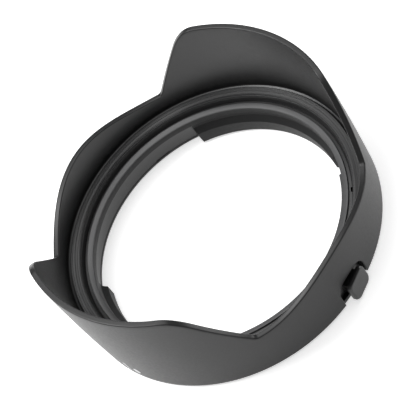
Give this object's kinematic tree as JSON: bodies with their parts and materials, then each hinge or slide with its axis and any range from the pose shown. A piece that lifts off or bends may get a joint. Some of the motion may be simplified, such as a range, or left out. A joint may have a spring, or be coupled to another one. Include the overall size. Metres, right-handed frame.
{
  "type": "lens hood",
  "caption": "Petal-shaped camera lens hood with a bayonet mount ring, stepped light trap and a push-button lock on its side.",
  "frame": {"origin": "centre of the rear rim, on the optical axis", "axes": "+Z along the optical axis to the front, +X through the release button, +Y and -Y through the long petals"},
  "size_m": [0.0787, 0.0788, 0.0312],
  "materials": {
    "shell_plastic": "fine satin texture, black",
    "ring_plastic": "moulded satin, black",
    "trap_plastic": "moulded satin with turned lines, black",
    "button_plastic": "satin, black",
    "lever_plastic": "natural moulded acetal, dark grey",
    "steel": "bright drawn wire",
    "white_print": "flat printing ink"
  },
  "bodies": {
    "hood": {"petal_shell": "shell_plastic", "bayonet_ring": "ring_plastic", "light_trap_ring": "trap_plastic", "lever_pin": "steel", "button_spring": "steel", "latch_spring": "steel", "index_mark": "white_print"},
    "button": {"release_button": "button_plastic"},
    "latch": {"latch_lever": "lever_plastic"}
  },
  "joints": [
    {"name": "button_press", "type": "slide", "parent": "hood", "child": "button", "axis": [-1, 0, 0], "range_m": [0, 0.0009], "stiffness_N_per_m": 1500, "springref_m": -0.0005, "deforming": ["button_spring"]},
    {"name": "latch_turn", "type": "hinge", "parent": "hood", "child": "latch", "pos_m": [0.03242, 0.0118, 0.0035], "axis": [0, 0, 1], "range_deg": [-7.6, 0], "stiffness_Nm_per_rad": 0.03, "springref_deg": 5.73, "deforming": ["latch_spring"]}
  ],
  "couplings": [
    {"joint": "latch_turn", "follows": "button_press", "rad_per_m": -147.4}
  ]
}
